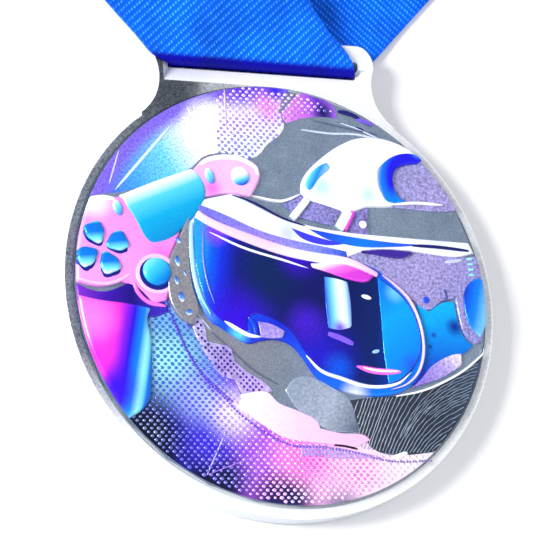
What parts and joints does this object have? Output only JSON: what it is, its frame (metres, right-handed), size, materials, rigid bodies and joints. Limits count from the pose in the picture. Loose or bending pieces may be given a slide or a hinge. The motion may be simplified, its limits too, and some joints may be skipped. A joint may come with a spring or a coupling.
{
  "type": "neck ribbon medal",
  "caption": "Round cast medal with a raised embossed picture plate, hung by a slotted loop on a folded woven neck ribbon.",
  "frame": {"origin": "centre of the medal's flat back face, where it rests on a surface", "axes": "+Z out of the medal's picture face, +Y from the disc's centre towards the ribbon loop, +X to the right seen from the front"},
  "size_m": [0.08, 0.1043, 0.0069],
  "materials": {
    "cast_metal": "bead-blasted die casting with polished edges and bevel",
    "printed_relief": "embossed metal with translucent violet, blue and pink inks",
    "adhesive_film": "clear double-sided film",
    "woven_ribbon": "ribbed polyester twill, soft sheen",
    "sewing_thread": "spun polyester thread",
    "paper_band": "uncoated white paper"
  },
  "bodies": {
    "ribbon": {"ribbon_front_strand": "woven_ribbon", "ribbon_back_strand": "woven_ribbon", "ribbon_bundle": "woven_ribbon", "seam_overlap": "woven_ribbon", "seam_stitching": "sewing_thread", "storage_band": "paper_band"},
    "medal": {"medal_body": "cast_metal", "art_plate": "printed_relief", "plate_adhesive": "adhesive_film", "ribbon_fold": "woven_ribbon"}
  },
  "joints": [
    {"name": "medal_tilt", "type": "hinge", "parent": "ribbon", "child": "medal", "pos_m": [0, 0.0382, 0.0042], "axis": [-1, 0, 0], "range_deg": [0, 90]}
  ]
}
